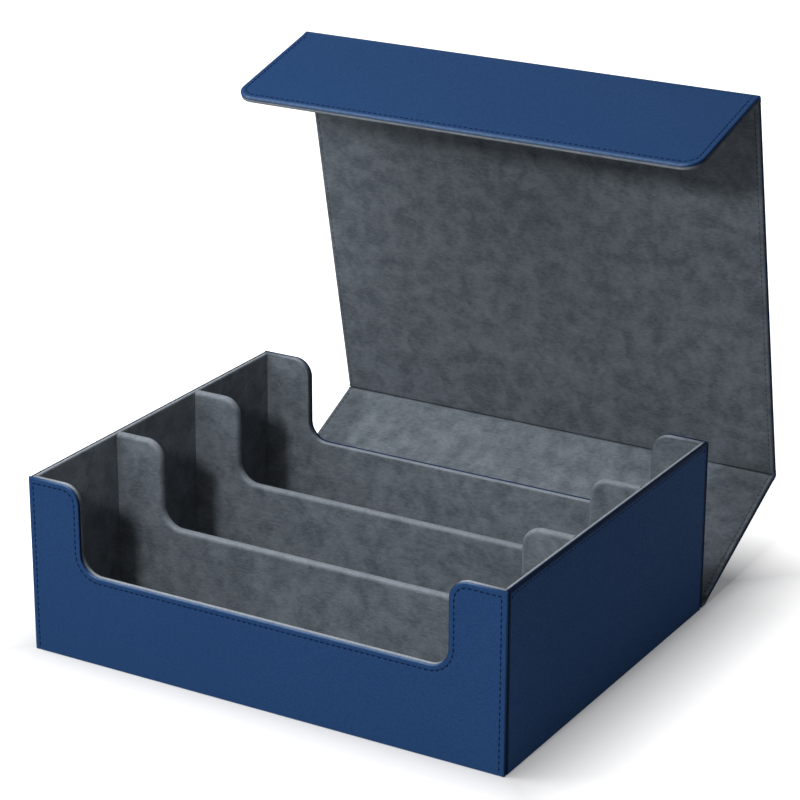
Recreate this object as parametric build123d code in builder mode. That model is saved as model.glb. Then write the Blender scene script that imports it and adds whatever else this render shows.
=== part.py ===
"""Three-row card case: a board tray with two dividers and a lid that folds over it.

Every wall, divider and lid panel is a board core with leather outside and suede inside.
Millimetres. X runs along the rows, the front is at -Y, +Z is up, and the origin is the
centre of the tray's underside. The lid stands open behind the tray.
"""

import os
from math import cos, radians, sin

from build123d import *

os.makedirs("parts", exist_ok=True)

# Sheet materials
leather = 0.8
suede = 0.8
base_board_thickness = 2.4
long_wall_board = 3.0
side_wall_board = 2.0
divider_board = 4.0
lid_board = 2.4

# Tray
tray_width = 300.0
tray_height = 104.0
row_width = 73.5

# Wide notch in the front wall, the rear wall and both dividers
notch_width = 232.4
notch_depth = 51.2
notch_shoulder_radius = 11.0
notch_corner_radius = 12.0

# Leather and suede edges
corner_radius = 1.4
corner_wrap = 2.4
corner_seam = 0.8
lining_edge_radius = 1.2
divider_edge_radius = 1.8

# Lid
lid_gap = 0.6
flap_length = 85.5
flap_corner_radius = 12.0
flap_lean = 3.0
flap_clearance = 0.3
crease_slack = 0.5
crease_fold_radius = 2.0
crease_suede = 0.6
lid_lining_inset = 0.4
lid_edge_radius = 1.2

# How far each crease is opened from the closed box, in degrees
base_opening = 64.6
top_opening = 13.6

# Closing magnets
magnet_radius = 6.0
magnet_thickness = 1.6
magnet_clearance = 0.1
magnet_spread = 150.0
magnet_from_flap_edge = 14.0

# Wall thicknesses over leather, board and suede
long_wall = leather + long_wall_board + suede
side_wall = leather + side_wall_board + suede
divider = suede + divider_board + suede
lid_panel = leather + lid_board + suede

# Heights above the table
board_floor = leather + base_board_thickness
board_top = tray_height - suede

# Plan of the tray
tray_depth = 2 * long_wall + 3 * row_width + 2 * divider
front = -tray_depth / 2
rear = tray_depth / 2
inner_length = tray_width - 2 * side_wall
row_starts = [front + long_wall + i * (row_width + divider) for i in range(3)]
divider_starts = {
    "front_divider": row_starts[0] + row_width,
    "rear_divider": row_starts[1] + row_width,
}

# Lid panels, measured along the outer leather between the folds
flap_gap = flap_length * sin(radians(flap_lean)) + flap_clearance
crease_setback = lid_panel + crease_slack
back_length = tray_height + lid_gap + lid_panel
top_length = tray_depth + lid_gap + flap_gap + 2 * lid_panel

# Directions of the panels in the YZ plane, as angles from +Y
back_angle = 90 - base_opening
top_angle = 180 - base_opening - top_opening
flap_angle = 270 + flap_lean - base_opening - top_opening


def along(angle):
    """Unit vector in the YZ plane, at an angle from +Y."""
    return Vector(0, cos(radians(angle)), sin(radians(angle)))


def inward(angle):
    """Normal of a lid panel on its suede side."""
    return Vector(1, 0, 0).cross(along(angle))


base_fold = Vector(0, rear + lid_gap + lid_panel, 0)
top_fold = base_fold + along(back_angle) * back_length
flap_fold = top_fold + along(top_angle) * top_length


def notched_wall(plane, width, foot, inset):
    """Face of a long wall with its notch, drawn in by the inset along the top and the notch."""
    top = tray_height - inset
    notch_half = notch_width / 2 + inset
    notch_floor = tray_height - notch_depth - inset
    with BuildSketch(plane) as face:
        with BuildLine():
            rim = FilletPolyline(
                (0, notch_floor),
                (notch_half, notch_floor),
                (notch_half, top),
                (width / 2, top),
                radius=[notch_corner_radius + inset, notch_shoulder_radius - inset],
            )
            Polyline(rim @ 1, (width / 2, foot), (0, foot))
            mirror(about=Plane.YZ)
        make_face()
    return face.sketch


def rim_edges(part, y):
    """Edges along the top and the notch of the wall face that lies at y."""
    on_face = part.edges().filter_by_position(Axis.Y, y - 0.01, y + 0.01)
    foot = on_face.group_by(Axis.Z)[0]
    ends = on_face.filter_by(Axis.Z).group_by(Axis.X)
    return on_face - foot - ends[0] - ends[-1]


def lid_outline(plane, start, end, inset, corner=0.0):
    """Rectangle of a lid panel from start to end, with its far corners rounded."""
    with BuildSketch(plane) as outline:
        with Locations((0, start)):
            Rectangle(tray_width - 2 * inset, end - start, align=(Align.CENTER, Align.MIN))
        if corner > 0:
            fillet(outline.vertices().group_by(Axis.Y)[-1], radius=corner)
    return outline.sketch


def lid_plane(fold, angle, height):
    """Plane of a lid panel, at a height above its outer leather face."""
    normal = inward(angle)
    return Plane(origin=fold + normal * height, x_dir=(1, 0, 0), z_dir=normal)


def crease_section(fold, angle_in, angle_out, run_in, run_out, near, far):
    """Section of a strip round a fold, between two depths under the outer leather face."""
    into, out_of = inward(angle_in), inward(angle_out)
    bisector = (into + out_of) * (1 / (1 + into.dot(out_of)))

    def bent(depth):
        start = fold - along(angle_in) * run_in + into * depth
        end = fold + along(angle_out) * run_out + out_of * depth
        corner = fold + bisector * depth
        return [(p.Y, p.Z) for p in (start, corner, end)]

    with BuildSketch(Plane.YZ) as section:
        with BuildLine():
            outer = FilletPolyline(*bent(near), radius=crease_fold_radius - near)
            inner = FilletPolyline(*bent(far), radius=crease_fold_radius - far)
            Line(outer @ 0, inner @ 0)
            Line(outer @ 1, inner @ 1)
        make_face()
    return section.sketch


# ---------------------------------------------------------------- tray boards
with BuildPart() as base_board:
    with BuildSketch(Plane.XY.offset(leather)):
        Rectangle(tray_width - 2 * leather, tray_depth - 2 * leather)
    extrude(amount=base_board_thickness)
base_board.part.label = "base_board"
export_step(base_board.part, "parts/base_board.step")

# The magnets sit behind the front leather, level with those of the closed flap.
magnet_along_flap = flap_length - magnet_from_flap_edge
magnet_height = back_length - magnet_along_flap * cos(radians(flap_lean))
pocket_depth = magnet_thickness + magnet_clearance

with BuildPart() as front_wall_board:
    board_plane = Plane.back.offset(front + leather)
    extrude(
        notched_wall(board_plane, tray_width - 2 * leather, board_floor, suede),
        amount=long_wall_board,
    )
    with BuildSketch(board_plane):
        with Locations((-magnet_spread / 2, magnet_height), (magnet_spread / 2, magnet_height)):
            Circle(magnet_radius + magnet_clearance)
    extrude(amount=pocket_depth, mode=Mode.SUBTRACT)
front_wall_board.part.label = "front_wall_board"
export_step(front_wall_board.part, "parts/front_wall_board.step")

with BuildPart() as tray_magnets:
    with BuildSketch(board_plane):
        with Locations((-magnet_spread / 2, magnet_height), (magnet_spread / 2, magnet_height)):
            Circle(magnet_radius)
    extrude(amount=magnet_thickness)
tray_magnets.part.label = "tray_magnets"
export_step(tray_magnets.part, "parts/tray_magnets.step")

with BuildPart() as rear_wall_board:
    rear_plane = Plane.back.offset(rear - leather - long_wall_board)
    extrude(
        notched_wall(rear_plane, tray_width - 2 * leather, board_floor, suede),
        amount=long_wall_board,
    )
rear_wall_board.part.label = "rear_wall_board"
export_step(rear_wall_board.part, "parts/rear_wall_board.step")

side_boards = {}
for side, centre in (("left", -1), ("right", 1)):
    with BuildPart() as wall_board:
        with BuildSketch(Plane.XY.offset(board_floor)):
            with Locations((centre * (tray_width / 2 - leather - side_wall_board / 2), 0)):
                Rectangle(side_wall_board, tray_depth - 2 * (leather + long_wall_board))
        extrude(amount=board_top - board_floor)
    wall_board.part.label = f"{side}_wall_board"
    export_step(wall_board.part, f"parts/{side}_wall_board.step")
    side_boards[side] = wall_board.part

# ---------------------------------------------------------------- tray leather
with BuildPart() as base_leather:
    with BuildSketch():
        with Locations((0, leather / 2)):
            Rectangle(tray_width - 2 * leather, tray_depth - leather)
    extrude(amount=leather)
base_leather.part.label = "base_leather"
export_step(base_leather.part, "parts/base_leather.step")

# The front and rear leathers turn the upright corners and stop short of the side leathers.
for name, face_y, inner_y, foot in (
    ("front_leather", front, front + leather, 0.0),
    ("rear_leather", rear, rear - leather, leather),
):
    outward = 1 if face_y > 0 else -1
    with BuildPart() as long_leather:
        extrude(
            notched_wall(Plane.back.offset(min(face_y, inner_y)), tray_width, foot, 0),
            amount=leather,
        )
        with BuildSketch(Plane.XY.offset(foot)):
            for end in (-1, 1):
                with Locations(
                    (end * (tray_width - leather) / 2, face_y - outward * corner_wrap / 2)
                ):
                    Rectangle(leather, corner_wrap)
        extrude(amount=tray_height - foot)
        upright = long_leather.edges().filter_by(Axis.Z).filter_by_position(
            Axis.Y, face_y - 0.01, face_y + 0.01
        )
        fillet(upright.group_by(Axis.X)[0] + upright.group_by(Axis.X)[-1], radius=corner_radius)
    long_leather.part.label = name
    export_step(long_leather.part, f"parts/{name}.step")

side_leather_length = tray_depth - 2 * (corner_wrap + corner_seam)
for side, centre in (("left", -1), ("right", 1)):
    with BuildPart() as side_leather:
        with BuildSketch():
            with Locations((centre * (tray_width - leather) / 2, 0)):
                Rectangle(leather, side_leather_length)
        extrude(amount=tray_height)
    side_leather.part.label = f"{side}_leather"
    export_step(side_leather.part, f"parts/{side}_leather.step")

# ---------------------------------------------------------------- tray lining
# The suede of each wall lies on the board's inner face and turns over its top.
for name, start, core_start, inner_y in (
    ("front_lining", front + leather, front + leather, front + long_wall),
    ("rear_lining", rear - long_wall, rear - leather - long_wall_board, rear - long_wall),
):
    with BuildPart() as long_lining:
        extrude(
            notched_wall(Plane.back.offset(start), tray_width - 2 * leather, board_floor, 0),
            amount=long_wall - leather,
        )
        fillet(rim_edges(long_lining, inner_y), radius=lining_edge_radius)
        extrude(
            notched_wall(
                Plane.back.offset(core_start), tray_width - 2 * leather, board_floor, suede
            ),
            amount=long_wall_board,
            mode=Mode.SUBTRACT,
        )
        add(side_boards["left"], mode=Mode.SUBTRACT)
        add(side_boards["right"], mode=Mode.SUBTRACT)
    long_lining.part.label = name
    export_step(long_lining.part, f"parts/{name}.step")

for side, centre in (("left", -1), ("right", 1)):
    with BuildPart() as side_lining:
        with BuildSketch(Plane.XY.offset(board_floor)):
            with Locations((centre * (tray_width - leather - side_wall) / 2, 0)):
                Rectangle(side_wall - leather, tray_depth - 2 * long_wall)
        extrude(amount=tray_height - board_floor)
        add(side_boards[side], mode=Mode.SUBTRACT)
        inner_edge = side_lining.edges().filter_by(Axis.Y).group_by(Axis.Z)[-1].sort_by(Axis.X)
        fillet(inner_edge[0] if centre > 0 else inner_edge[-1], radius=lining_edge_radius)
    side_lining.part.label = f"{side}_lining"
    export_step(side_lining.part, f"parts/{side}_lining.step")

for position, start in zip(("front", "middle", "rear"), row_starts):
    with BuildPart() as floor_lining:
        with BuildSketch(Plane.XY.offset(board_floor)):
            with Locations((0, start + row_width / 2)):
                Rectangle(inner_length, row_width)
        extrude(amount=suede)
    floor_lining.part.label = f"{position}_floor_lining"
    export_step(floor_lining.part, f"parts/{position}_floor_lining.step")

# ---------------------------------------------------------------- dividers
for name, start in divider_starts.items():
    with BuildPart() as core:
        extrude(
            notched_wall(Plane.back.offset(start + suede), inner_length, board_floor, suede),
            amount=divider_board,
        )
    core.part.label = f"{name}_board"
    export_step(core.part, f"parts/{name}_board.step")

    with BuildPart() as sleeve:
        extrude(notched_wall(Plane.back.offset(start), inner_length, board_floor, 0), amount=divider)
        fillet(
            rim_edges(sleeve, start) + rim_edges(sleeve, start + divider),
            radius=divider_edge_radius,
        )
        add(core.part, mode=Mode.SUBTRACT)
    sleeve.part.label = f"{name}_lining"
    export_step(sleeve.part, f"parts/{name}_lining.step")

# ---------------------------------------------------------------- lid panels
lid_panels = {
    "back_panel": (base_fold, back_angle, back_length - crease_setback, 0.0),
    "top_panel": (top_fold, top_angle, top_length - crease_setback, 0.0),
    "flap": (flap_fold, flap_angle, flap_length, flap_corner_radius),
}
for name, (fold, angle, end, corner) in lid_panels.items():
    free_edge = corner > 0
    board_end = end - leather if free_edge else end
    board_corner = corner - leather if free_edge else 0.0
    core = lid_outline(
        lid_plane(fold, angle, leather), crease_setback, board_end, leather, board_corner
    )
    with BuildPart() as panel_board:
        extrude(core, amount=lid_board)
        if name == "flap":
            with BuildSketch(lid_plane(fold, angle, leather + lid_board)):
                with Locations(
                    (-magnet_spread / 2, magnet_along_flap), (magnet_spread / 2, magnet_along_flap)
                ):
                    Circle(magnet_radius + magnet_clearance)
            extrude(amount=-pocket_depth, mode=Mode.SUBTRACT)
    panel_board.part.label = f"{name}_board"
    export_step(panel_board.part, f"parts/{name}_board.step")

    # The leather covers the outer face and turns round the board's free edges.
    with BuildPart() as panel_leather:
        extrude(
            lid_outline(lid_plane(fold, angle, 0), crease_setback, end, 0, corner),
            amount=leather + lid_board,
        )
        outer_face = panel_leather.faces().sort_by_distance(
            fold + along(angle) * (crease_setback + end) / 2
        )[0]
        outline = outer_face.edges().sort_by(Axis(fold, along(angle)))
        fillet(outline[1:] if free_edge else outline[1:-1], radius=lid_edge_radius)
        extrude(core, amount=lid_board, mode=Mode.SUBTRACT)
    panel_leather.part.label = f"{name}_leather"
    export_step(panel_leather.part, f"parts/{name}_leather.step")

    lining_end = end - lid_lining_inset if free_edge else end
    lining_corner = corner - lid_lining_inset if free_edge else 0.0
    with BuildPart() as panel_lining:
        extrude(
            lid_outline(
                lid_plane(fold, angle, leather + lid_board),
                crease_setback,
                lining_end,
                lid_lining_inset,
                lining_corner,
            ),
            amount=suede,
        )
    panel_lining.part.label = f"{name}_lining"
    export_step(panel_lining.part, f"parts/{name}_lining.step")

with BuildPart() as flap_magnets:
    with BuildSketch(lid_plane(flap_fold, flap_angle, leather + lid_board)):
        with Locations(
            (-magnet_spread / 2, magnet_along_flap), (magnet_spread / 2, magnet_along_flap)
        ):
            Circle(magnet_radius)
    extrude(amount=-magnet_thickness)
flap_magnets.part.label = "flap_magnets"
export_step(flap_magnets.part, "parts/flap_magnets.step")

# ---------------------------------------------------------------- creases
# Each crease is a strip of the outer leather with thin suede behind it.
creases = {
    "base_crease": (base_fold, 0.0, back_angle, lid_gap + lid_panel, crease_setback),
    "top_crease": (top_fold, back_angle, top_angle, crease_setback, crease_setback),
    "flap_crease": (flap_fold, top_angle, flap_angle, crease_setback, crease_setback),
}
for name, (fold, angle_in, angle_out, run_in, run_out) in creases.items():
    with BuildPart() as strip:
        extrude(
            crease_section(fold, angle_in, angle_out, run_in, run_out, 0, leather),
            amount=tray_width / 2,
            both=True,
        )
    strip.part.label = f"{name}_leather"
    export_step(strip.part, f"parts/{name}_leather.step")

    with BuildPart() as strip_lining:
        extrude(
            crease_section(
                fold, angle_in, angle_out, run_in, run_out, leather, leather + crease_suede
            ),
            amount=tray_width / 2 - lid_lining_inset,
            both=True,
        )
    strip_lining.part.label = f"{name}_lining"
    export_step(strip_lining.part, f"parts/{name}_lining.step")

print(f"tray {tray_width:.1f} x {tray_depth:.1f} x {tray_height:.1f} mm")
for label, fold in (("base", base_fold), ("top", top_fold), ("flap", flap_fold)):
    print(f"{label} fold at y {fold.Y:.3f}, z {fold.Z:.3f}")
print(f"lengths: back {back_length:.2f}, top {top_length:.2f}, flap {flap_length:.2f} mm")
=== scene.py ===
# %% [markdown]
# # A three-row card case with a folding lid
# The case is an open tray of stiff board with two dividers. Its lid is three stiff panels that
# fold up behind the tray, over it and down its front. Outside is smooth navy leather, inside is
# grey suede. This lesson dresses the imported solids: the boards and magnets stay as they are,
# and each leather and suede sheet is rebuilt with turned edges, hems and stitches, because
# those are what the eye reads.

# %% Load the fixed frame
import math

import bmesh
import bpy
from mathutils import Matrix, Vector
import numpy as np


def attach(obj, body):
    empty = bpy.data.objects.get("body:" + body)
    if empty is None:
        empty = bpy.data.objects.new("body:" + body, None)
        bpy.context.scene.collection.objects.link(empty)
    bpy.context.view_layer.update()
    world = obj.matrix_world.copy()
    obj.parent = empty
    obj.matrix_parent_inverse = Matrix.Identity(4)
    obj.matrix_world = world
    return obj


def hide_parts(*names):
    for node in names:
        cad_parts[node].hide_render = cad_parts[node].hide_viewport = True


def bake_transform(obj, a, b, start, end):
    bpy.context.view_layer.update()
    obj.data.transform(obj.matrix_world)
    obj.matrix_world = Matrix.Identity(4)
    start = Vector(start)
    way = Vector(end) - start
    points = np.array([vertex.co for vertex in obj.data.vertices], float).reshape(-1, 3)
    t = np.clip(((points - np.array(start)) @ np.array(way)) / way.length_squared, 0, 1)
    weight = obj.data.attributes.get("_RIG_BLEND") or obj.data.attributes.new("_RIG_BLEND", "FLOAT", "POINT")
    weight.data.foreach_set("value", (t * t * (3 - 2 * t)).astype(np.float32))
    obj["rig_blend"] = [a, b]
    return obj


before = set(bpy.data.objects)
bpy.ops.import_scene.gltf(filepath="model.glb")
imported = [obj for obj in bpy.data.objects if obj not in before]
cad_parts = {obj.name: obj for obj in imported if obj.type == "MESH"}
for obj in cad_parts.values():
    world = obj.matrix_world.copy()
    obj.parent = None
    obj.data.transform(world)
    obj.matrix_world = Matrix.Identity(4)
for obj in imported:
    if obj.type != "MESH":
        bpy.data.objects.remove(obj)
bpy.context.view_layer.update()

# %% [markdown]
# ## Sizes
# All the sheets lie on boards whose sizes are fixed, so their numbers are written down once, in
# metres. They could be measured from each node's box, but the slanted lid panels would still
# need their angles.

# %% Sizes of the case
WIDTH, DEPTH, HEIGHT = 0.3000, 0.2409, 0.1040
LONG_WALL, SIDE_WALL, DIVIDER, LID = 0.0046, 0.0036, 0.0056, 0.0040
SHEET = 0.0008
BOARD_FLOOR = 0.0032
ROW = 0.0735
NOTCH_HALF, NOTCH_DEPTH = 0.1162, 0.0512
SHOULDER_RADIUS, CORNER_RADIUS = 0.011, 0.012
FLAP_CORNER = 0.012
SETBACK = 0.0045
BACK_ANGLE, TOP_ANGLE, FLAP_ANGLE = 25.4, 101.8, 194.8
FOLDS = {
    "base": (Vector((0, 0.125050, 0)), 0.0, BACK_ANGLE),
    "top": (Vector((0, 0.223152, 0.046582)), BACK_ANGLE, TOP_ANGLE),
    "flap": (Vector((0, 0.171154, 0.295484)), TOP_ANGLE, FLAP_ANGLE),
}
PANELS = {
    "back_panel": ("base", 0.10860 - SETBACK),
    "top_panel": ("top", 0.25427 - SETBACK),
    "flap": ("flap", 0.0855),
}
print("wall", LONG_WALL, "side", SIDE_WALL, "divider", DIVIDER, "lid", LID)

# %% [markdown]
# ## Camera
# The photograph is taken from the right of the front, about 21 degrees above the table, with a
# long lens. The place was found by fitting the box's corners to the picture. A camera could
# also be aimed by eye with a Track To constraint, but then the picture would not line up.

# %% Camera
CAMERA_PLACE = Vector((0.76619, -1.27719, 0.70140))
CAMERA_AZIMUTH, CAMERA_HEIGHT, CAMERA_ROLL = (math.radians(a) for a in (30.406, 20.682, 0.159))
CAMERA_LENS, SENSOR_WIDTH = 129.0, 36


def camera_turn(azimuth, height, roll):
    """Rotation of a camera that looks at the case from an azimuth and a height angle."""
    flat = math.cos(height)
    back = Vector((math.sin(azimuth) * flat, -math.cos(azimuth) * flat, math.sin(height)))
    right = Vector((math.cos(azimuth), math.sin(azimuth), 0))
    up = back.cross(right)
    rolled_right = right * math.cos(roll) + up * math.sin(roll)
    rolled_up = up * math.cos(roll) - right * math.sin(roll)
    return Matrix((rolled_right, rolled_up, back)).transposed()


camera_data = bpy.data.cameras.new("camera")
camera_data.sensor_width = SENSOR_WIDTH
camera_data.lens = CAMERA_LENS
camera = bpy.data.objects.new("camera", camera_data)
camera.matrix_world = Matrix.Translation(CAMERA_PLACE) @ camera_turn(
    CAMERA_AZIMUTH, CAMERA_HEIGHT, CAMERA_ROLL
).to_4x4()
bpy.context.scene.collection.objects.link(camera)
bpy.context.scene.camera = camera
bpy.context.scene.view_settings.view_transform = "Standard"
print("camera at", tuple(round(v, 3) for v in camera.location))

# %% [markdown]
# ## Small tools for node trees
# Every finish is a node tree. A few helpers keep the cells short: they add a node and set its
# values, and start a node group with named sockets, which several finishes can then share.

# %% Node helpers
def add_node(tree, kind, settings=None, **values):
    """Adds a node, sets its own settings, then its input sockets by name or number."""
    node = tree.nodes.new(kind)
    for key, value in (settings or {}).items():
        setattr(node, key, value)
    for key, value in values.items():
        numbered = key[0] == "n" and key[1:].isdigit()
        socket = node.inputs[int(key[1:]) if numbered else key.replace("_", " ")]
        if isinstance(value, bpy.types.NodeSocket):
            tree.links.new(value, socket)
        else:
            socket.default_value = value
    return node


def maths(tree, operation, *values, clamp=False):
    """Output of a maths node that works on sockets and numbers."""
    sockets = {f"n{number}": value for number, value in enumerate(values)}
    settings = {"operation": operation, "use_clamp": clamp}
    return add_node(tree, "ShaderNodeMath", settings, **sockets).outputs[0]


def start_group(name, inputs, outputs):
    """A shader node group with float inputs and the named outputs."""
    group = bpy.data.node_groups.new(name, "ShaderNodeTree")
    for label, value in inputs.items():
        socket = group.interface.new_socket(label, in_out="INPUT", socket_type="NodeSocketFloat")
        socket.default_value = value
    for label in outputs:
        group.interface.new_socket(label, in_out="OUTPUT", socket_type="NodeSocketFloat")
    first, last = group.nodes.new("NodeGroupInput"), group.nodes.new("NodeGroupOutput")
    return group, first.outputs, last.inputs


def place_group(tree, group, **values):
    """Puts a shared group into a material's tree and sets its inputs."""
    return add_node(tree, "ShaderNodeGroup", {"node_tree": group}, **values)


def rgb(red, green, blue):
    """Linear colour of a red, green and blue that are given as on a screen, 0 to 255."""
    parts = (value / 255 for value in (red, green, blue))
    return (*(p / 12.92 if p < 0.0405 else ((p + 0.055) / 1.055) ** 2.4 for p in parts), 1.0)


print("navy in linear light:", [round(c, 3) for c in rgb(46, 72, 114)])

# %% [markdown]
# ## Shared effects
# Leather and suede share three effects. Clouds are slow changes of tone. Grain is the pebble of
# pressed leather. Nap is the mottling of brushed suede, where the pile lies in different
# directions. A fourth uses an attribute that each sheet carries along its turned edges: it
# paints patchy wear and a highlight on rims that face the light, and painted shade on rims that
# look sideways, in slits and beside corner seams. A picture texture could do all of this, but
# procedural nodes have no seams and no fixed size.

# %% Group: clouds of tone
clouds, clouds_in, clouds_out = start_group("clouds", {"Scale": 12.0, "Contrast": 0.5}, ["Tone"])
place = add_node(clouds, "ShaderNodeTexCoord").outputs["Object"]
cloud_noise = add_node(
    clouds, "ShaderNodeTexNoise", Vector=place, Scale=clouds_in["Scale"], Detail=3.0,
    Roughness=0.55,
)
centred = maths(clouds, "SUBTRACT", cloud_noise.outputs["Fac"], 0.5)
spread = maths(clouds, "MULTIPLY", centred, clouds_in["Contrast"])
clouds.links.new(maths(clouds, "ADD", spread, 0.5, clamp=True), clouds_out["Tone"])
print("group", clouds.name, len(clouds.nodes), "nodes")

# %% Group: pebble grain of leather
grain, grain_in, grain_out = start_group(
    "grain", {"Pebbles": 950.0, "Pores": 3200.0}, ["Height", "Valleys"]
)
place = add_node(grain, "ShaderNodeTexCoord").outputs["Object"]
bend = add_node(grain, "ShaderNodeTexNoise", Vector=place, Scale=420.0, Detail=2.0)
push = add_node(
    grain, "ShaderNodeVectorMath", {"operation": "SCALE"}, n0=bend.outputs["Color"], Scale=0.0012
)
warped = add_node(
    grain, "ShaderNodeVectorMath", {"operation": "ADD"}, n0=place, n1=push.outputs[0]
)
cells = add_node(
    grain, "ShaderNodeTexVoronoi", {"feature": "DISTANCE_TO_EDGE"}, Vector=warped.outputs[0],
    Scale=grain_in["Pebbles"],
)
rounded = add_node(
    grain, "ShaderNodeMapRange", {"interpolation_type": "SMOOTHSTEP"},
    Value=cells.outputs["Distance"], From_Max=0.28,
).outputs[0]
pores = add_node(grain, "ShaderNodeTexNoise", Vector=place, Scale=grain_in["Pores"], Detail=2.0)
fine = maths(grain, "MULTIPLY_ADD", pores.outputs["Fac"], 0.35, rounded)
grain.links.new(fine, grain_out["Height"])
grain.links.new(maths(grain, "SUBTRACT", 1.0, rounded, clamp=True), grain_out["Valleys"])
print("group", grain.name, len(grain.nodes), "nodes")

# %% Group: nap of suede
nap, nap_in, nap_out = start_group("nap", {"Patches": 90.0, "Pile": 1500.0}, ["Tone", "Height"])
place = add_node(nap, "ShaderNodeTexCoord").outputs["Object"]
stretch = add_node(nap, "ShaderNodeMapping", Vector=place)
stretch.inputs["Scale"].default_value = (0.4, 1.0, 1.0)
patches = add_node(
    nap, "ShaderNodeTexNoise", Vector=place, Scale=nap_in["Patches"], Detail=5.0, Roughness=0.6,
    Distortion=0.3,
)
brush_streaks_and_painted_light = add_node(
    nap, "ShaderNodeTexNoise", Vector=stretch.outputs[0], Scale=800.0, Detail=3.0, Roughness=0.65
)
pile = add_node(
    nap, "ShaderNodeTexNoise", Vector=place, Scale=nap_in["Pile"], Detail=3.0, Roughness=0.7
)
wide = add_node(
    nap, "ShaderNodeMapRange", Value=patches.outputs["Fac"], From_Min=0.36, From_Max=0.64
)
short = add_node(
    nap, "ShaderNodeMapRange", Value=brush_streaks_and_painted_light.outputs["Fac"], From_Min=0.35, From_Max=0.65
)
blend = add_node(nap, "ShaderNodeMix", n0=0.4, A=wide.outputs[0], B=short.outputs[0])
hair = maths(nap, "MULTIPLY_ADD", pile.outputs["Fac"], 0.6, blend.outputs[0])
nap.links.new(blend.outputs[0], nap_out["Tone"])
nap.links.new(hair, nap_out["Height"])
print("group", nap.name, len(nap.nodes), "nodes")

# %% Group: wear, painted highlight and painted shade along turned edges
wear_and_painted_rim_light, wear_and_painted_rim_light_in, wear_and_painted_rim_light_out = start_group("wear_and_painted_rim_light", {"Amount": 0.6, "Scale": 260.0}, ["Pale", "Dark"])
edge = add_node(wear_and_painted_rim_light, "ShaderNodeAttribute", {"attribute_name": "rim"}).outputs["Fac"]
place = add_node(wear_and_painted_rim_light, "ShaderNodeTexCoord").outputs["Object"]
rub = add_node(
    wear_and_painted_rim_light, "ShaderNodeTexNoise", Vector=place, Scale=wear_and_painted_rim_light_in["Scale"], Detail=3.0, Roughness=0.6
)
patchy = add_node(
    wear_and_painted_rim_light, "ShaderNodeMapRange", Value=rub.outputs["Fac"], From_Min=0.3, From_Max=0.6, To_Min=0.55
)
# Pale is patchy wear plus a painted highlight; Dark is painted shade.
held = maths(wear_and_painted_rim_light, "MULTIPLY", edge, patchy.outputs[0])
wear_and_painted_rim_light.links.new(maths(wear_and_painted_rim_light, "MULTIPLY", held, wear_and_painted_rim_light_in["Amount"], clamp=True), wear_and_painted_rim_light_out["Pale"])
wear_and_painted_rim_light.links.new(maths(wear_and_painted_rim_light, "MULTIPLY", edge, -1.0, clamp=True), wear_and_painted_rim_light_out["Dark"])
print("group", wear_and_painted_rim_light.name, len(wear_and_painted_rim_light.nodes), "nodes")

# %% [markdown]
# ## Finishes
# Each finish is one Principled shader. Values that are the same everywhere sit on the shader's
# own sockets. Only colour, roughness and height come from the groups, because they change over
# the surface.

# %% Start of a finish
def start_finish(name, **constants):
    """A material with one Principled shader, ready for its texture nodes."""
    material = bpy.data.materials.new(name)
    material.use_nodes = True
    tree = material.node_tree
    shader = tree.nodes["Principled BSDF"]
    for key, value in constants.items():
        shader.inputs[key.replace("_", " ")].default_value = value
    return material, tree, shader


def colour_mix(tree, mask, first, second):
    """Colour that runs from the first to the second as the mask goes from 0 to 1."""
    settings = {"data_type": "RGBA"}
    return add_node(tree, "ShaderNodeMix", settings, n0=mask, n6=first, n7=second).outputs[2]


def roughen(tree, shader, mask, first, last):
    """Roughness that runs from first to last as the mask goes from 0 to 1."""
    span = add_node(tree, "ShaderNodeMapRange", Value=mask, To_Min=first, To_Max=last)
    tree.links.new(span.outputs[0], shader.inputs["Roughness"])


def relief(tree, shader, height, depth, strength):
    """Bump that gives a finish its small relief; depth is in metres."""
    bump = add_node(tree, "ShaderNodeBump", Height=height, Distance=depth, Strength=strength)
    tree.links.new(bump.outputs["Normal"], shader.inputs["Normal"])


# %% Navy leather
navy_leather, tree, shader = start_finish("navy_leather_finish", Specular_IOR_Level=0.015)
tones = place_group(tree, clouds, Scale=9.0, Contrast=1.0)
pebbles = place_group(tree, grain, Pebbles=950.0, Pores=3200.0)
worn_and_lit_rims = place_group(tree, wear_and_painted_rim_light, Amount=0.9, Scale=260.0)
navy = colour_mix(tree, tones.outputs["Tone"], rgb(34, 63, 104), rgb(42, 73, 114))
navy = colour_mix(tree, pebbles.outputs["Valleys"], navy, rgb(33, 60, 99))
# Painted highlight with patchy wear on pale rims; painted shade on sideways rims, the rear wall's rim and
# beside the corner seams.
navy = colour_mix(tree, worn_and_lit_rims.outputs["Pale"], navy, rgb(116, 138, 168))
navy = colour_mix(tree, worn_and_lit_rims.outputs["Dark"], navy, rgb(10, 20, 40))
tree.links.new(navy, shader.inputs["Base Color"])
roughen(tree, shader, pebbles.outputs["Valleys"], 0.46, 0.66)
relief(tree, shader, pebbles.outputs["Height"], depth=0.00004, strength=0.25)
print("finish", navy_leather.name)

# %% Thread
def thread_finish(name, gloss, dark, pale, roughness, strength):
    """Twisted thread: slanting plies change its colour, roughness and height."""
    material, tree, shader = start_finish(name, Specular_IOR_Level=gloss)
    place = add_node(tree, "ShaderNodeTexCoord").outputs["Object"]
    plies = add_node(
        tree, "ShaderNodeTexWave", {"bands_direction": "DIAGONAL"}, Vector=place, Scale=900.0,
        Distortion=1.2, Detail=1.0,
    ).outputs["Fac"]
    tree.links.new(colour_mix(tree, plies, dark, pale), shader.inputs["Base Color"])
    roughen(tree, shader, plies, *roughness)
    relief(tree, shader, plies, depth=0.0001, strength=strength)
    print("finish", material.name)
    return material


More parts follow.
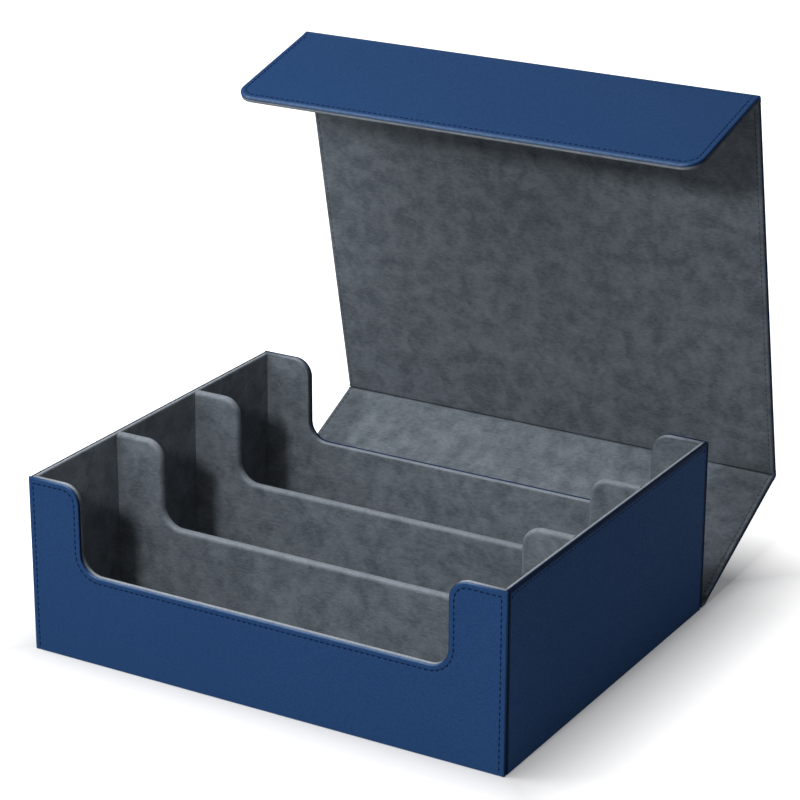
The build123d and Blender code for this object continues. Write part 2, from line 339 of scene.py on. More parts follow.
navy_thread = thread_finish(
    "navy_thread_finish", 0.03, rgb(6, 18, 48), rgb(14, 31, 70), (0.75, 0.6), 0.6
)
grey_thread = thread_finish(
    "grey_thread_finish", 0.1, rgb(58, 64, 70), rgb(74, 80, 86), (0.9, 0.75), 0.5
)

# %% Grey suede
grey_suede, tree, shader = start_finish(
    "grey_suede_finish", Specular_IOR_Level=0.05, Sheen_Weight=0.06, Sheen_Roughness=0.5
)
pile_tones = place_group(tree, nap, Patches=85.0, Pile=1500.0)
tones = place_group(tree, clouds, Scale=7.0, Contrast=1.6)
worn_and_lit_rims = place_group(tree, wear_and_painted_rim_light, Amount=0.85, Scale=700.0)
dark_pile = colour_mix(tree, tones.outputs["Tone"], rgb(66, 73, 80), rgb(80, 87, 94))
pale_pile = colour_mix(tree, tones.outputs["Tone"], rgb(99, 106, 113), rgb(116, 123, 130))
grey = colour_mix(tree, pile_tones.outputs["Tone"], dark_pile, pale_pile)
# Painted light: an attribute on each sheet makes its suede brighter or darker as a whole.
painted_light = add_node(tree, "ShaderNodeAttribute", {"attribute_name": "painted_light"})
brightness = maths(tree, "ADD", painted_light.outputs["Fac"], 1.0)
grey = add_node(tree, "ShaderNodeHueSaturation", Value=brightness, Color=grey).outputs[0]
# Painted highlight with patchy wear on pale rims; painted shade on sideways rims and in the slits.
grey = colour_mix(tree, worn_and_lit_rims.outputs["Pale"], grey, rgb(168, 175, 185))
grey = colour_mix(tree, worn_and_lit_rims.outputs["Dark"], grey, rgb(26, 30, 35))
tree.links.new(grey, shader.inputs["Base Color"])
roughen(tree, shader, pile_tones.outputs["Tone"], 0.98, 0.86)
relief(tree, shader, pile_tones.outputs["Height"], depth=0.00035, strength=0.55)
print("finish", grey_suede.name)

# %% Greyboard
greyboard, tree, shader = start_finish("greyboard_finish", Specular_IOR_Level=0.2)
fibres = place_group(tree, nap, Patches=300.0, Pile=2600.0)
pulp = colour_mix(tree, fibres.outputs["Tone"], rgb(118, 112, 102), rgb(150, 143, 131))
tree.links.new(pulp, shader.inputs["Base Color"])
roughen(tree, shader, fibres.outputs["Tone"], 0.95, 0.8)
relief(tree, shader, fibres.outputs["Height"], depth=0.0001, strength=0.4)
print("finish", greyboard.name)

# %% Magnet steel
magnet_steel, tree, shader = start_finish("magnet_steel_finish", Metallic=1.0)
plating = place_group(tree, clouds, Scale=900.0, Contrast=1.2)
metal = colour_mix(tree, plating.outputs["Tone"], rgb(168, 170, 172), rgb(196, 197, 198))
tree.links.new(metal, shader.inputs["Base Color"])
roughen(tree, shader, plating.outputs["Tone"], 0.22, 0.36)
relief(tree, shader, plating.outputs["Tone"], depth=0.00002, strength=0.3)
print("finish", magnet_steel.name)

# %% [markdown]
# ## Boards and magnets
# The cores are hidden by the sheets, but they stay in the scene, so they get finishes of
# their own. Flat sheets whose solids already have the right shape stay too: the three floor
# linings and the leather under the base.

# %% Dress the nodes that stay
KEPT_NODES = {
    "base_board": greyboard, "front_wall_board": greyboard, "rear_wall_board": greyboard,
    "left_wall_board": greyboard, "right_wall_board": greyboard, "front_divider_board": greyboard,
    "rear_divider_board": greyboard, "back_panel_board": greyboard, "top_panel_board": greyboard,
    "flap_board": greyboard, "tray_magnets": magnet_steel, "flap_magnets": magnet_steel,
    "base_leather": navy_leather, "front_floor_lining": grey_suede,
    "middle_floor_lining": grey_suede, "rear_floor_lining": grey_suede,
}
for name, finish in KEPT_NODES.items():
    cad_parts[name].material_slots[0].material = finish
print("dressed", len(KEPT_NODES), "nodes")

# %% [markdown]
# ## Tools for turned sheets
# Leather on board is made by gluing the sheet to the face and turning its edge down over the
# board's rim. So each sheet is modelled as a shallow tray: a flat outline, extruded by the
# depth of the turned lip, hollowed from behind, and rounded along its rim. Where a sheet only
# ends against another, it is drawn SPARE too long and cut, so that its hem runs straight on to
# the cut. A Solidify modifier could give the thickness, but the turned lip has a depth of its
# own.

# %% Rounding, growing and moving
CORNER_SEGMENTS, BEND_SEGMENTS, RIM_SEGMENTS = 14, 8, 3
TINY = 1e-6


def round_off(bm, geom, radius, segments, affect="EDGES"):
    """Rounds edges or corners by a radius."""
    bmesh.ops.bevel(
        bm, geom=geom, offset=radius, offset_type="OFFSET", segments=segments, profile=0.5,
        material=-1, affect=affect,
    )


def push_out(bm, faces, vec, **options):
    """Extrudes faces and moves the new ones along a vector."""
    grown = bmesh.ops.extrude_face_region(bm, geom=faces, **options)["geom"]
    moved = [v for v in grown if isinstance(v, bmesh.types.BMVert)]
    bmesh.ops.translate(bm, verts=moved, vec=vec)


def move_to(bm, place):
    """Moves the whole shape by a matrix."""
    bmesh.ops.transform(bm, matrix=place, verts=bm.verts[:])


print("segments in a corner, bend and rim:", CORNER_SEGMENTS, BEND_SEGMENTS, RIM_SEGMENTS)

# %% Outline of a sheet
SPARE = 0.012


def outline(corners, rounded=()):
    """Flat face through a few corners; rounded lists (corner numbers, radius)."""
    bm = bmesh.new()
    verts = [bm.verts.new((x, y, 0)) for x, y in corners]
    bm.faces.new(verts)
    for picks, radius in rounded:
        round_off(bm, [verts[i] for i in picks], radius, CORNER_SEGMENTS, "VERTICES")
    return bm


def notched_outline(half, foot):
    """Outline of a long wall with the wide notch in its top edge."""
    sill = HEIGHT - NOTCH_DEPTH
    corners = [
        (-half, foot), (half, foot), (half, HEIGHT), (NOTCH_HALF, HEIGHT),
        (NOTCH_HALF, sill), (-NOTCH_HALF, sill), (-NOTCH_HALF, HEIGHT), (-half, HEIGHT),
    ]
    return outline(corners, [((3, 6), SHOULDER_RADIUS), ((4, 5), CORNER_RADIUS)])


def plain_outline(half, foot, top, top_radius=0.0):
    """Rectangle, with its two top corners rounded if a radius is given."""
    corners = [(-half, foot), (half, foot), (half, top), (-half, top)]
    return outline(corners, [((2, 3), top_radius)] if top_radius else [])


# %% Sheet with a turned lip
ALONG, ACROSS = 0.9, 0.1
LIP_MIDDLE = 0.45


def facing(bm, sign):
    """The largest face that looks up (sign 1) or down (sign -1)."""
    bm.normal_update()
    return max((f for f in bm.faces if f.normal.z * sign > ALONG), key=lambda f: f.calc_area())


def is_outer_wall(face, lip):
    """Whether a face goes upright from the outer face down to the end of the lip."""
    return (
        abs(face.normal.z) < ACROSS and face.calc_center_median().z < -lip * LIP_MIDDLE
        and max(v.co.z for v in face.verts) > -TINY
    )


def turn_lip(bm, lip, round_out, round_in, hollow=True):
    """Makes the outline a tray-shaped sheet, its outer face at z = 0 and its lip going down."""
    rim = bm.verts.layers.float.new("rim")
    bmesh.ops.translate(bm, verts=bm.verts[:], vec=(0, 0, -lip))
    push_out(bm, bm.faces[:], (0, 0, lip))
    bmesh.ops.recalc_face_normals(bm, faces=bm.faces[:])
    if hollow:
        back = facing(bm, -1)
        bmesh.ops.inset_region(bm, faces=[back], thickness=SHEET, depth=0, use_even_offset=True)
        back = facing(bm, -1)
        push_out(bm, [back], (0, 0, lip - SHEET))
        bmesh.ops.delete(bm, geom=[back], context="FACES_ONLY")
    bm.normal_update()
    upper = list(facing(bm, 1).edges)
    lower = [e for e in bm.edges if all(abs(v.co.z + lip) < TINY for v in e.verts)]
    lower = [e for e in lower if any(is_outer_wall(f, lip) for f in e.link_faces)]
    for rims, radius in ((lower, round_in), (upper, round_out)):
        round_off(bm, rims, radius, RIM_SEGMENTS)
    for vert in bm.verts:
        vert[rim] = 1.0
    return bm


# %% Hem and rim of a sheet
RIM_LIGHT_GAIN, RIM_LIGHT_START = 1.6, 0.3


def press_hem(bm, steps):
    """Insets the outer face ring by ring by (width, rise). Returns the loop after each step."""
    rim = bm.verts.layers.float["rim"]
    loops = []
    for width, rise in steps:
        face = facing(bm, 1)
        bmesh.ops.inset_region(bm, faces=[face], thickness=width, depth=rise, use_even_offset=True)
        face = facing(bm, 1)
        for vert in face.verts:
            vert[rim] = 0.0
        loops.append([vert.co.copy() for vert in face.verts])
    return loops


def ramp(value):
    """0 for a face turned away, 1 for one that looks well along the direction."""
    return min(1.0, max(0.0, value * RIM_LIGHT_GAIN - RIM_LIGHT_START))


def fade_rim(bm, pale, dark, highlight_from):
    """Paints a highlight on the rim where it looks along the given direction, and paints shade where it
    looks sideways.
    """
    rim = bm.verts.layers.float.get("rim")
    if rim is None:
        return
    bm.normal_update()
    for vert in bm.verts:
        # Painted highlight on rims that face the given direction, painted shade on rims that face sideways.
        vert[rim] *= pale * ramp(vert.normal.dot(highlight_from)) - dark * ramp(abs(vert.normal.x))


def trim(bm, point, normal):
    """Cuts off everything beyond a plane and closes the cut."""
    everything = bm.verts[:] + bm.edges[:] + bm.faces[:]
    cut = bmesh.ops.bisect_plane(
        bm, geom=everything, plane_co=point, plane_no=normal, clear_outer=True
    )
    rims = [e for e in cut["geom_cut"] if isinstance(e, bmesh.types.BMEdge)]
    bmesh.ops.holes_fill(bm, edges=rims, sides=0)


def trim_wall(bm, foot, half=None):
    """Cuts a wall's sheet level at its foot and, if half is given, upright at both ends."""
    trim(bm, (0, foot, 0), (0, -1, 0))
    if half:
        for side in (-1, 1):
            trim(bm, (side * half, 0, 0), (side, 0, 0))


# %% Finishing a piece
UP = Vector((0, 0, 1))
FORWARD = Vector((0, -1, 0))
SMOOTH_ANGLE = math.radians(50)


def finish_piece(
    bm, name, finish, body, stands_for=(), pale=1.0, dark=0.0, highlight_from=UP, painted_light=0.0
):
    """Turns a bmesh into a finished piece on a body, or in a bend with (body, body, start, end).
    With pale None the rim values stay as they are."""
    bmesh.ops.remove_doubles(bm, verts=bm.verts[:], dist=TINY)
    bmesh.ops.recalc_face_normals(bm, faces=bm.faces[:])
    if pale is not None:
        fade_rim(bm, pale, dark, highlight_from)
    # Painted light: a brightness change for a whole suede sheet, kept on its vertices.
    brush_streaks_and_painted_light = bm.verts.layers.float.new("painted_light")
    for vert in bm.verts:
        vert[brush_streaks_and_painted_light] = painted_light
    open_edges = sum(1 for e in bm.edges if not e.is_manifold)
    mesh = bpy.data.meshes.new(name)
    bm.to_mesh(mesh)
    bm.free()
    piece = bpy.data.objects.new(name, mesh)
    bpy.context.scene.collection.objects.link(piece)
    mesh.materials.append(finish)
    mesh.shade_smooth()
    mesh.set_sharp_from_angle(angle=SMOOTH_ANGLE)
    if isinstance(body, str):
        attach(piece, body)
    else:
        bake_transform(piece, *body[:2], start=body[2], end=body[3])
    if stands_for:
        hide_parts(*stands_for)
    print(f"{name}: {len(mesh.polygons)} faces, {open_edges} open edges")
    return piece


# %% [markdown]
# ## Stitches
# The thread shows as short dark dashes about 3.5 mm apart, each sunk into the hem. A curve with
# an array would need one object per row, so small low ellipsoids are set along the hem's own
# loop instead.

# %% Sewing along a loop
STITCH_PITCH, STITCH_LENGTH, STITCH_WIDTH = 0.0035, 0.0023, 0.0009
FINE_STITCH_WIDTH = 0.0006
STITCH_RISE = 0.0001


def walk(loop, pitch):
    """Points and directions at equal steps along a closed loop."""
    travelled, goal = 0.0, pitch / 2
    for start, end in zip(loop, loop[1:] + loop[:1]):
        span = (end - start).length
        while goal <= travelled + span:
            yield start.lerp(end, (goal - travelled) / span), (end - start).normalized()
            goal += pitch
        travelled += span


def sew(bm, loop, keep, width=STITCH_WIDTH):
    """Adds one stitch to the bmesh at each step of the loop where keep(point) is true."""
    for point, course in walk(loop, STITCH_PITCH):
        if not keep(point):
            continue
        turn = Matrix((course, UP.cross(course), UP)).transposed().to_4x4()
        size = Matrix.Diagonal((STITCH_LENGTH / 2, width / 2, width / 2, 1))
        lie = Matrix.Rotation(math.radians(90), 4, "Y")
        bmesh.ops.create_uvsphere(
            bm, u_segments=6, v_segments=5, radius=1.0,
            matrix=Matrix.Translation(point + UP * STITCH_RISE) @ turn @ size @ lie,
        )


def add_stitches(name, loop, keep, place, finish, body, width=STITCH_WIDTH):
    """A row of stitches as a piece of its own, moved to the place of its sheet."""
    bm = bmesh.new()
    sew(bm, loop, keep, width)
    move_to(bm, place)
    finish_piece(bm, name, finish, body)


# %% [markdown]
# ## Tray leather
# Four leather sheets cover the walls. The front and rear sheets follow the notch. Each sheet
# has a hem: the leather is double for the first 4 mm, the stitches pull a shallow valley into
# it, and the band between them and the rim puffs up and catches the light. The sheets meet at
# the upright corners in a groove, and the leather beside it is painted dark as shade.

# %% Where each wall stands
def wall_place(turn, distance, facing_in=False):
    """Matrix that stands a flat sheet up as a wall; turn is 0 for the front, 90 for the right."""
    flip = 180 if facing_in else 0
    return (
        Matrix.Rotation(math.radians(turn), 4, "Z")
        @ Matrix.Translation((0, -distance, 0))
        @ Matrix.Rotation(math.radians(flip), 4, "Z")
        @ Matrix.Rotation(math.radians(90), 4, "X")
    )


LEATHER_LIP_LONG, LEATHER_LIP_SIDE = 0.0017, 0.0015
LIP_GAP = 0.00015
HEM = (
    (0.0006, 0.0), (0.0011, 0.00012), (0.0008, -0.0004), (0.0006, 0.00028), (0.0008, 0.0),
    (0.002, 0.0),
)
SIDE_HEM = (
    (0.0006, 0.0), (0.0011, 0.00005), (0.0008, -0.00017), (0.0006, 0.00012), (0.0008, 0.0),
    (0.002, 0.0),
)
STITCH_LOOP = 2
EDGE_ROUND, SIDE_EDGE_ROUND, LIP_FOOT_ROUND = 0.0007, 0.0011, 0.0003
print("hems of", len(HEM), "steps, stitched along loop", STITCH_LOOP)

# %% Leather of the front and rear walls
STITCH_FOOT = 0.003
# Painted highlight on the front wall's top rim, painted shade on the rear wall's, and painted shade on rims
# that look sideways.
LEATHER_RIM_WEAR_AND_LIGHT = {"front": 0.7, "rear": -0.5}
for name, turn in (("front", 0), ("rear", 180)):
    foot = 0.0 if name == "front" else SHEET
    bm = notched_outline(WIDTH / 2, foot - SPARE)
    turn_lip(bm, LEATHER_LIP_LONG, EDGE_ROUND, LIP_FOOT_ROUND)
    loops = press_hem(bm, HEM)
    trim_wall(bm, foot)
    place = wall_place(turn, DEPTH / 2)
    move_to(bm, place)
    finish_piece(
        bm, f"{name}_wall_leather", navy_leather, "tray", [f"{name}_leather"],
        pale=LEATHER_RIM_WEAR_AND_LIGHT[name], dark=1.0,
    )
    add_stitches(
        f"{name}_wall_stitches", loops[STITCH_LOOP], lambda p: p.y > foot + STITCH_FOOT, place,
        navy_thread, "tray",
    )

# %% Leather of the side walls
CORNER_GROOVE = 0.0004
SIDE_START = DEPTH / 2 - LEATHER_LIP_LONG - CORNER_GROOVE
SEAM_SHADE, SEAM_REACH = 0.9, 0.0018
STITCH_TOP = HEIGHT - 0.005
for name, turn in (("right", 90), ("left", 270)):
    bm = plain_outline(SIDE_START, -SPARE, HEIGHT)
    turn_lip(bm, LEATHER_LIP_SIDE, SIDE_EDGE_ROUND, LIP_FOOT_ROUND)
    loops = press_hem(bm, SIDE_HEM)
    trim_wall(bm, 0)
    place = wall_place(turn, WIDTH / 2)
    move_to(bm, place)
    # Painted shade on the side sheet's ends, beside the corner grooves.
    rim = bm.verts.layers.float["rim"]
    for vert in bm.verts:
        vert[rim] = -SEAM_SHADE if abs(vert.co.y) > SIDE_START - SEAM_REACH else 0.0
    finish_piece(
        bm, f"{name}_wall_leather", navy_leather, "tray", [f"{name}_leather"],
        pale=None,
    )
    add_stitches(
        f"{name}_wall_stitches", loops[STITCH_LOOP], lambda p: p.y > STITCH_TOP, place,
        navy_thread, "tray", FINE_STITCH_WIDTH,
    )

# %% [markdown]
# ## Tray suede
# Inside, each wall has its own suede sheet that is turned over the wall's top, next to the
# leather's rim. The rim is rounder than the leather's, and it is paler: patchy wear and a
# painted highlight where it faces up, and on the front and rear sheets painted shade where it
# looks sideways.

# %% Suede of the four walls
SUEDE_ROUND, LONG_SUEDE_FOOT, SIDE_SUEDE_FOOT = 0.0010, 0.0005, 0.0004
# Painted highlight with patchy wear on the rims; the front and rear sheets also get painted shade on
# sideways rims.
SUEDE_RIM_WEAR_AND_LIGHT = {"front": 1.0, "rear": 0.6}
# Painted light: the tray's suede is made a little brighter.
TRAY_PAINTED_LIGHT = 0.08
FLAT_HEM = ((0.0008, 0.0), (0.002, 0.0))
for name, turn in (("front", 0), ("rear", 180)):
    bm = notched_outline(WIDTH / 2 + SPARE, BOARD_FLOOR - SPARE)
    turn_lip(bm, LONG_WALL - LEATHER_LIP_LONG - LIP_GAP, SUEDE_ROUND, LONG_SUEDE_FOOT)
    press_hem(bm, FLAT_HEM)
    trim_wall(bm, BOARD_FLOOR, WIDTH / 2 - LEATHER_LIP_SIDE - LIP_GAP)
    move_to(bm, wall_place(turn, DEPTH / 2 - LONG_WALL, True))
    finish_piece(
        bm, f"{name}_wall_suede", grey_suede, "tray", [f"{name}_lining"],
        pale=SUEDE_RIM_WEAR_AND_LIGHT[name], dark=0.75, painted_light=TRAY_PAINTED_LIGHT,
    )

for name, turn in (("right", 90), ("left", 270)):
    half = DEPTH / 2 - LONG_WALL
    bm = plain_outline(half + SPARE, BOARD_FLOOR - SPARE, HEIGHT)
    turn_lip(bm, SIDE_WALL - LEATHER_LIP_SIDE - LIP_GAP, SUEDE_ROUND, SIDE_SUEDE_FOOT)
    press_hem(bm, FLAT_HEM)
    trim_wall(bm, BOARD_FLOOR, half)
    move_to(bm, wall_place(turn, WIDTH / 2 - SIDE_WALL, True))
    finish_piece(
        bm, f"{name}_wall_suede", grey_suede, "tray", [f"{name}_lining"],
        painted_light=TRAY_PAINTED_LIGHT,
    )

# %% [markdown]
# ## Dividers
# A divider is one board in a sleeve of suede that is pulled over its top, so both rims are
# round and there is no leather. The sleeve is made as a plate whose rims are bevelled on both
# sides.

# %% Suede sleeves of the two dividers
SLEEVE_ROUND = 0.0020
inner_half = WIDTH / 2 - SIDE_WALL
for number, name in enumerate(("front", "rear")):
    bm = notched_outline(inner_half + SPARE, BOARD_FLOOR - SPARE)
    turn_lip(bm, DIVIDER, SLEEVE_ROUND, SLEEVE_ROUND, hollow=False)
    press_hem(bm, FLAT_HEM)
    trim_wall(bm, BOARD_FLOOR, inner_half)
    front_face = DEPTH / 2 - LONG_WALL - (number + 1) * ROW - number * DIVIDER
    move_to(bm, wall_place(0, front_face))
    # Painted highlight with patchy wear on the sleeve's up-facing rims.
    finish_piece(
        bm, f"{name}_divider_suede", grey_suede, "tray", [f"{name}_divider_lining"],
        pale=0.5, painted_light=TRAY_PAINTED_LIGHT,
    )

# %% [markdown]
# ## Lid panels
# Each panel is a board between a leather sheet and a suede sheet. Both are turned over the
# board's rim, and where their lips meet there is a dark line round the panel's edge.

# %% Directions of a panel
ACROSS_LID = Vector((1, 0, 0))


def along(angle):
    """Unit vector in the YZ plane at an angle from +Y."""
    return Vector((0, math.cos(math.radians(angle)), math.sin(math.radians(angle))))


def panel_place(fold, angle, depth, inside=False):
    """Matrix that lays a flat sheet on a panel, its outer face at a depth under the leather."""
    run = along(angle)
    inward = ACROSS_LID.cross(run)
    side, up = (ACROSS_LID, inward) if inside else (-ACROSS_LID, -inward)
    turn = Matrix((side, run, up)).transposed().to_4x4()
    return Matrix.Translation(fold + inward * depth) @ turn


# %% Outline and ends of a panel
def panel_outline(name, inset=0.0):
    """Flat outline of a panel's sheet, with round corners where the flap ends."""
    end, half = PANELS[name][1], WIDTH / 2 - inset
    if name == "flap":
        return plain_outline(half, SETBACK - SPARE, end - inset, FLAP_CORNER - inset)
    return plain_outline(half, SETBACK - SPARE, end + SPARE)


def trim_panel(bm, name, past=0.0):
    """Cuts a panel's sheet where its creases begin, or a little past that."""
    trim(bm, (0, SETBACK - past, 0), (0, -1, 0))
    if name != "flap":
        trim(bm, (0, PANELS[name][1] + past, 0), (0, 1, 0))


LID_LEATHER_LIP, LID_LIP_GAP = 0.0020, 0.0002
LID_SUEDE_LIP = LID - LID_LEATHER_LIP - LID_LIP_GAP
LID_EDGE_ROUND, LINING_ROUND, LIP_ROUND = 0.0010, 0.0007, 0.0006
LINING_INSET = 0.0002
STITCH_END = 0.002
CREASE_LIP = {"back_panel": 0.0003, "top_panel": 0.0002, "flap": 0.0001}
# Painted light: the back panel's suede much brighter, the top panel's and the flap's a little darker.
LID_PAINTED_LIGHT = {"back_panel": 0.36, "top_panel": -0.06, "flap": -0.06}
LINING_HEM = ((0.0010, 0.0), (0.0008, -0.0002), (0.0006, 0.0002), (0.002, 0.0))
LINING_STITCH_LOOP = 1
print("lid lips:", LID_LEATHER_LIP, "of leather,", round(LID_SUEDE_LIP, 4), "of suede")

# %% Leather and suede of the lid panels
for name, (fold_name, end) in PANELS.items():
    fold, _, angle = FOLDS[fold_name]
    free = name == "flap"
    panel = name if name.endswith("panel") else f"{name}_panel"
    last = end if free else end - STITCH_END

    bm = panel_outline(name)
    turn_lip(bm, LID_LEATHER_LIP, LID_EDGE_ROUND, LIP_ROUND)
    loops = press_hem(bm, HEM)
    trim_panel(bm, name)
    place = panel_place(fold, angle, 0)
    move_to(bm, place)
    # Painted highlight with patchy wear on the flap's front rim, painted shade on rims that look sideways.
    finish_piece(
        bm, f"{panel}_outer_leather", navy_leather, name, [f"{name}_leather"],
        pale=0.45 if free else 0.0, dark=0.9, highlight_from=FORWARD,
    )
    add_stitches(
        f"{panel}_outer_stitches", loops[STITCH_LOOP], lambda p: SETBACK + STITCH_END < p.y < last,
        place, navy_thread, name,
    )

    bm = panel_outline(name, LINING_INSET)
    turn_lip(bm, LID_SUEDE_LIP, LINING_ROUND, LIP_ROUND)
    loops = press_hem(bm, LINING_HEM)
    trim_panel(bm, name, CREASE_LIP[name])
    place = panel_place(fold, angle, LID, inside=True)
    move_to(bm, place)
    # Painted highlight with patchy wear on the flap lining's front rim, painted shade on rims that look
    # sideways.
    finish_piece(
        bm, f"{panel}_inner_suede", grey_suede, name, [f"{name}_lining"],
        pale=0.3 if free else 0.0, dark=0.5, highlight_from=FORWARD, painted_light=LID_PAINTED_LIGHT[name],
    )
    add_stitches(
        f"{panel}_inner_stitches", loops[LINING_STITCH_LOOP],
        lambda p: SETBACK + STITCH_END < p.y < last, place, grey_thread, name,
        FINE_STITCH_WIDTH,
    )

# %% [markdown]
# ## Creases
# Between the boards only the leather and the suede run on, so the lid can fold there. The
# leather goes round the outside of the fold and bends along its whole arc. In the top and
# flap folds the suede lies level with the linings and tucks into a thin slit, the dark line
# across the open lid; the slit carries painted shade. Each half of it keeps to its own panel
# and only the middle of the slit's floor bends, so the slit opens to a groove when the lid is
# laid flat. The base fold is too gentle for a slit, so there the suede follows the leather.

# %% Rows of a crease strip
BASE_RUN_IN = LID + 0.0006
CREASES = {
    "base_crease": ("base", "tray", "back_panel", BASE_RUN_IN),
    "top_crease": ("top", "back_panel", "top_panel", SETBACK),
    "flap_crease": ("flap", "top_panel", "flap", SETBACK),
}
FOLD_ROUND = 0.0020
CREASE_SUEDE = 0.0006
CREASE_EDGE = 0.0006
END_INSET = 0.0001


def strip(rows, half, inward, shaded_rows=()):
    """Flat sheet through the rows of points, across the lid, that looks away from inward."""
    bm = bmesh.new()
    rim = bm.verts.layers.float.new("rim")
    lines = [[bm.verts.new(point + ACROSS_LID * x) for x in (-half, half)] for point in rows]
    # Painted shade on the listed rows.
    for number in shaded_rows:
        for vert in lines[number]:
            vert[rim] = -1.0
    for lower, upper in zip(lines, lines[1:]):
        bm.faces.new((lower[0], lower[1], upper[1], upper[0]))
    bmesh.ops.recalc_face_normals(bm, faces=bm.faces[:])
    bm.normal_update()
    if bm.faces[0].normal.dot(inward) > 0:
        bmesh.ops.reverse_faces(bm, faces=bm.faces[:])
    middle = bm.edges.get(lines[len(lines) // 2]) if len(lines) == 3 else None
    return bm, middle


def close_sides(bm, outer_rows, inner_rows):
    """Adds the turned-in leather at both ends of a crease, between its outer and inner rows."""
    for side in (-1, 1):
        start = ACROSS_LID * (side * (WIDTH / 2 - END_INSET))
        corners = [bm.verts.new(point + start) for point in (*outer_rows, *reversed(inner_rows))]
        push_out(bm, [bm.faces.new(corners)], (-side * SHEET, 0, 0), use_keep_orig=True)


# %% Leather of a crease
OUTWARD = -0.3


def outer_side_edges(bm, bisector):
    """Edges at both ends of a strip, on the side that looks out of the fold."""
    return [
        e for e in bm.edges
        if all(abs(abs(v.co.x) - WIDTH / 2) < TINY for v in e.verts)
        and any(f.normal.dot(bisector) < OUTWARD for f in e.link_faces)
        and any(abs(f.normal.x) > ALONG for f in e.link_faces)
    ]


def crease_leather(rows, into, bisector, half_bend):
    """Strip of leather with a round bend and rounded ends."""
    bm, middle = strip(rows, WIDTH / 2, into)
    round_off(bm, [middle], FOLD_ROUND * math.tan(half_bend), BEND_SEGMENTS)
    bmesh.ops.solidify(bm, geom=bm.faces[:], thickness=SHEET)
    bm.normal_update()
    round_off(bm, outer_side_edges(bm, bisector), CREASE_EDGE, RIM_SEGMENTS)
    return bm


# %% Crease strips
SLIT_DEPTH, SLIT_HALF = 0.0021, 0.0005
SLIT_TURN = 0.00001
SLIT_SHADE_ROWS = (3, 5)
LINING_SINK, SHOULDER_SINK = 0.00005, 0.0001
for name, (fold_name, before, after, run_in) in CREASES.items():
    fold, angle_in, angle_out = FOLDS[fold_name]
    run_before, run_after = along(angle_in), along(angle_out)
    into, out_of = (ACROSS_LID.cross(run) for run in (run_before, run_after))
    bisector = (into + out_of) / (1 + into.dot(out_of))
    first, last = fold - run_before * run_in, fold + run_after * SETBACK
    half_bend = math.radians(angle_out - angle_in) / 2
    across = (run_before + run_after).normalized()
    arc = across * FOLD_ROUND * math.sin(half_bend)
    plain = name == "base_crease"
    held = (before, after, first, last) if plain else (before, after, fold - arc, fold + arc)

    def bent_rows(depth):
        """Three rows at a depth under the outer face: before the fold, at it and after it."""
        return [first + into * depth, fold + bisector * depth, last + out_of * depth]

    bm = crease_leather(bent_rows(0), into, bisector, half_bend)
    if not plain:
        close_sides(bm, bent_rows(SHEET), bent_rows(LID - 2 * CREASE_SUEDE))
    finish_piece(
        bm, f"{name}_outer_leather", navy_leather, held, [f"{name}_leather"],
        pale=None,
    )

    half = WIDTH / 2 - LINING_INSET
    if plain:
        bm, middle = strip(bent_rows(SHEET), half, into)
        round_off(bm, [middle], (FOLD_ROUND - SHEET) * math.tan(half_bend), BEND_SEGMENTS)
    else:
        level = LID - LINING_SINK
        inner = fold + bisector * level
        bottom = fold + bisector * (level - SLIT_DEPTH)
        split = across * SLIT_HALF
        shoulder = (SETBACK - LID * math.tan(half_bend)) / 2
        rows = [
            first + into * level, inner - run_before * shoulder,
            inner - run_before * shoulder / 3 - into * SHOULDER_SINK,
            bottom - split, bottom, bottom + split,
            inner + run_after * shoulder / 3 - out_of * SHOULDER_SINK,
            inner + run_after * shoulder, last + out_of * level,
        ]
        bm, _ = strip(rows, half, -into, shaded_rows=SLIT_SHADE_ROWS)
        held = (before, after, fold - across * SLIT_TURN, fold + across * SLIT_TURN)
    bmesh.ops.solidify(bm, geom=bm.faces[:], thickness=CREASE_SUEDE)
    finish_piece(
        bm, f"{name}_inner_suede", grey_suede, held, [f"{name}_lining"], pale=None
    )

# %% [markdown]
# ## Studio
# The case stands on a plain white floor that runs on past the picture. The floor glows for the
# camera and in reflections only, so the background is white without putting more light on the
# case. Close to the case the glow is low, so its soft shadow stays, and the floor all round the
# case is a painted shade darker. A second white backdrop could do this too, but it would show
# a line where it meets the floor. Four lamps light the case. The small key lamp in front throws
# the shadows beside the left tabs. Two large ones on the left fill the inside, and a weak one
# behind lights the outside of the lid.

# %% Floor
GLOW_CENTRE = (0.0, 0.025)
GLOW_HALF = (0.150, 0.140)
GLOW_NEAR, GLOW_FAR, GLOW_REACH = 0.10, 1.0, 0.083
FLOOR_REACH, FLOOR_DROP = 12.0, 0.0003
FLOOR_COLOUR = (0.62, 0.62, 0.63, 1)

bm = bmesh.new()
floor_place = Matrix.Translation((0, 0, -FLOOR_DROP))
bmesh.ops.create_grid(bm, x_segments=2, y_segments=2, size=FLOOR_REACH, matrix=floor_place)
floor_mesh = bpy.data.meshes.new("floor")
bm.to_mesh(floor_mesh)
bm.free()
floor = bpy.data.objects.new("floor", floor_mesh)
bpy.context.scene.collection.objects.link(floor)
floor_finish, tree, shader = start_finish("floor_finish", Roughness=1.0, Specular_IOR_Level=0.0)
shader.inputs["Base Color"].default_value = FLOOR_COLOUR
place = add_node(tree, "ShaderNodeTexCoord").outputs["Object"]
place = add_node(tree, "ShaderNodeSeparateXYZ", n0=place).outputs
gaps = []
for axis, (centre, half) in enumerate(zip(GLOW_CENTRE, GLOW_HALF)):
    far = maths(tree, "ABSOLUTE", maths(tree, "SUBTRACT", place[axis], centre))
    gaps.append(maths(tree, "SUBTRACT", far, half))
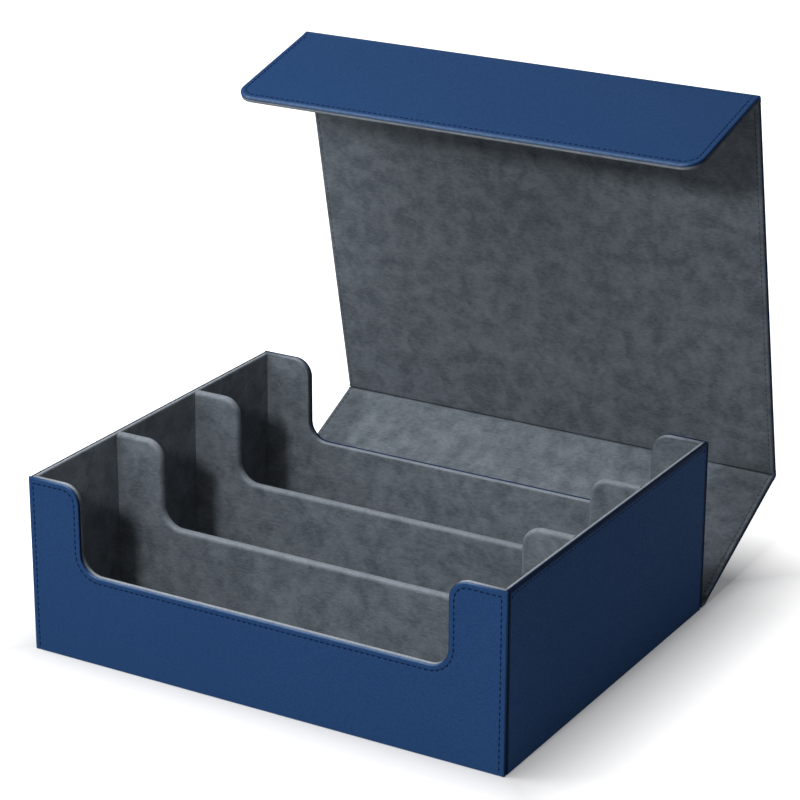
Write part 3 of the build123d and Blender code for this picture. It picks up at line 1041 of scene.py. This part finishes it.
# Painted shade: the glow drops near the case's footprint, so the floor round it is darker.
glow = add_node(
    tree, "ShaderNodeMapRange", Value=maths(tree, "MAXIMUM", *gaps), From_Max=GLOW_REACH,
    To_Min=GLOW_NEAR, To_Max=GLOW_FAR,
)


def seen_rays(tree):
    """1 for rays that show the background: from the camera, in gloss or through glass."""
    rays = add_node(tree, "ShaderNodeLightPath").outputs
    seen = rays["Is Camera Ray"]
    for other in ("Is Glossy Ray", "Is Transmission Ray"):
        seen = maths(tree, "MAXIMUM", seen, rays[other])
    return seen


lift = maths(tree, "MULTIPLY", seen_rays(tree), glow.outputs[0])
shine = add_node(tree, "ShaderNodeEmission", Strength=lift)
both = add_node(tree, "ShaderNodeAddShader", n0=shader.outputs[0], n1=shine.outputs[0])
tree.links.new(both.outputs[0], tree.nodes["Material Output"].inputs["Surface"])
floor_mesh.materials.append(floor_finish)
print("floor of", floor.dimensions.x, "m")

# %% World and lamps
ROOM_LIGHT = 0.18
LAMP_AIM = Vector((0, 0, 0.12))
world = bpy.data.worlds.new("studio")
world.use_nodes = True
bpy.context.scene.world = world
tree = world.node_tree
room = tree.nodes["Background"]
level = add_node(tree, "ShaderNodeMapRange", Value=seen_rays(tree), To_Min=ROOM_LIGHT, To_Max=1.0)
room.inputs["Color"].default_value = (1, 1, 1, 1)
tree.links.new(level.outputs[0], room.inputs["Strength"])


def softbox(name, azimuth, height, distance, size, level):
    """Soft lamp aimed at the case. Azimuth is from the front, positive to the right. Level 1
    lights a white surface that faces the lamp to full white."""
    lamp = bpy.data.lights.new(name, "AREA")
    lamp.shape = "RECTANGLE"
    lamp.size, lamp.size_y = size
    lamp.energy = level * (math.pi * distance) ** 2
    holder = bpy.data.objects.new(name, lamp)
    turn = camera_turn(math.radians(azimuth), math.radians(height), 0)
    holder.matrix_world = Matrix.Translation(LAMP_AIM + turn.col[2] * distance) @ turn.to_4x4()
    bpy.context.scene.collection.objects.link(holder)
    print(name, tuple(round(v, 2) for v in holder.location), "level", level)


softbox("key_lamp", 6.5, 29.5, 1.55, (0.14, 0.17), 0.52)
softbox("left_lamp", -65, 45, 0.9, (0.6, 0.55), 0.53)
softbox("high_lamp", -30, 65, 1.1, (0.65, 0.65), 0.36)
softbox("back_lamp", 195, 15, 2.0, (1.0, 0.8), 0.22)
